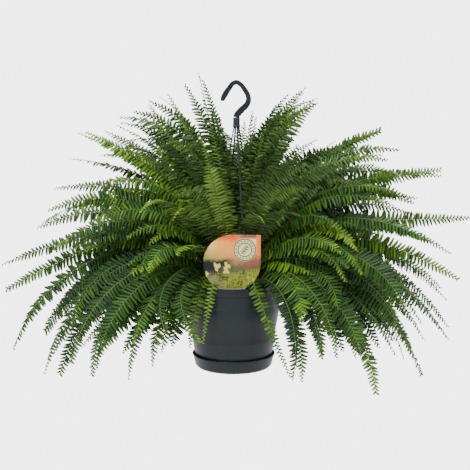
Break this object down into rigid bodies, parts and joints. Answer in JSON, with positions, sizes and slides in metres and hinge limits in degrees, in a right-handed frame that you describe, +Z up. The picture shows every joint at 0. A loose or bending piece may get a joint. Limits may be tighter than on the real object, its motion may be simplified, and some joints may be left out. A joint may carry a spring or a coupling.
{
  "type": "potted fern",
  "caption": "Sword fern with long arching fronds in a round-bellied plastic hanging pot, with a saucer, a moulded hook and strands, and a die-cut card label.",
  "frame": {"origin": "where the underside of the hook's crown bears on whatever holds the plant up", "axes": "+Z up; -Y is the front, where the label stands; the pot's axis is vertical, 6 mm to -X of the origin"},
  "size_m": [0.9861, 0.6806, 0.6466],
  "materials": {
    "dark_plastic": "satin",
    "slate_plastic": "satin",
    "potting_mix": "matte",
    "root_crown": "matte",
    "printed_card": "satin",
    "fern_leaf": "satin"
  },
  "bodies": {
    "root": {"saucer": "dark_plastic", "pot": "dark_plastic", "potting_mix": "potting_mix", "root_crown": "root_crown", "plant_label": "printed_card", "hanger_clip_1": "slate_plastic", "hanger_clip_2": "slate_plastic", "hanger_clip_3": "slate_plastic", "hanger_clip_4": "slate_plastic", "hanger_strand_1": "slate_plastic", "hanger_strand_2": "slate_plastic", "hanger_strand_3": "slate_plastic", "hanger_strand_4": "slate_plastic", "hanger_collar": "slate_plastic", "hanger_hook": "slate_plastic", "frond_01": "fern_leaf", "frond_02": "fern_leaf", "frond_03": "fern_leaf", "frond_04": "fern_leaf", "frond_05": "fern_leaf", "frond_06": "fern_leaf", "frond_07": "fern_leaf", "frond_08": "fern_leaf", "frond_09": "fern_leaf", "frond_10": "fern_leaf", "frond_11": "fern_leaf", "frond_12": "fern_leaf", "frond_13": "fern_leaf", "frond_14": "fern_leaf", "frond_15": "fern_leaf", "frond_16": "fern_leaf", "frond_17": "fern_leaf", "frond_18": "fern_leaf", "frond_19": "fern_leaf", "frond_20": "fern_leaf", "frond_21": "fern_leaf", "frond_22": "fern_leaf", "frond_23": "fern_leaf", "frond_24": "fern_leaf", "frond_25": "fern_leaf", "frond_26": "fern_leaf", "frond_27": "fern_leaf", "frond_28": "fern_leaf", "frond_29": "fern_leaf", "frond_30": "fern_leaf", "frond_31": "fern_leaf", "frond_32": "fern_leaf", "frond_33": "fern_leaf", "frond_34": "fern_leaf", "frond_35": "fern_leaf", "frond_36": "fern_leaf", "frond_37": "fern_leaf", "frond_38": "fern_leaf", "frond_39": "fern_leaf", "frond_40": "fern_leaf", "frond_41": "fern_leaf", "frond_42": "fern_leaf", "frond_43": "fern_leaf", "frond_44": "fern_leaf", "frond_45": "fern_leaf"}
  },
  "joints": []
}
